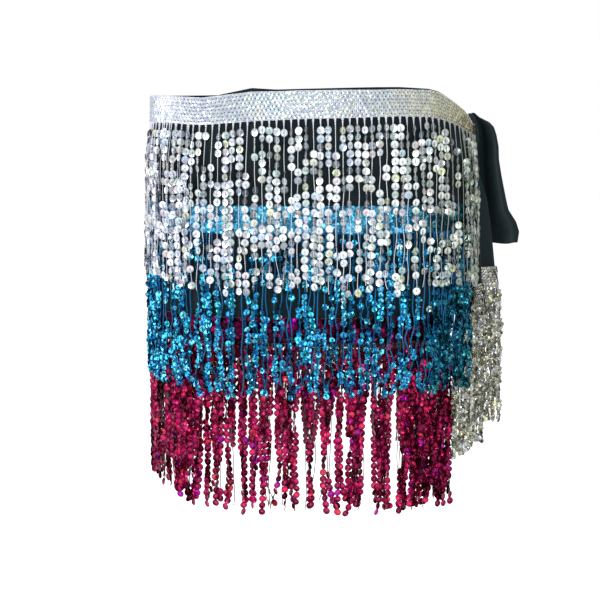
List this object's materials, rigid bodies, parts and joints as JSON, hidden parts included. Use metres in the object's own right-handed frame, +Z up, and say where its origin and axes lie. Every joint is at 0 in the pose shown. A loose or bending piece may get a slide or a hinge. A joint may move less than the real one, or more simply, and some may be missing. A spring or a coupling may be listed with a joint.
{
  "type": "belly dance hip belt",
  "caption": "Knit hip wrap with tiers of sequin bands and hanging sequin fringe, worn round the hips and tied at one side.",
  "frame": {"origin": "the middle of the waist opening, level with the wrap's top edge, where the wearer's hips hold it", "axes": "+Z up along the wearer, -Y out of the front, +X to the wearer's left, where the wrap is tied"},
  "size_m": [0.3969, 0.2371, 0.412],
  "materials": {
    "black_knit": "matte stretch knit",
    "silver_sequins": "iridescent silver sequins",
    "blue_sequins": "metallic blue sequins",
    "crimson_sequins": "metallic crimson sequins"
  },
  "bodies": {
    "root": {"base_cloth": "black_knit", "knot": "black_knit", "tie_end": "black_knit", "tail_cloth": "black_knit", "band_silver": "silver_sequins", "band_blue": "blue_sequins", "band_crimson": "crimson_sequins", "band_tail": "silver_sequins", "fringe_silver": "silver_sequins", "fringe_blue": "blue_sequins", "fringe_crimson": "crimson_sequins", "fringe_tail": "silver_sequins"}
  },
  "joints": []
}
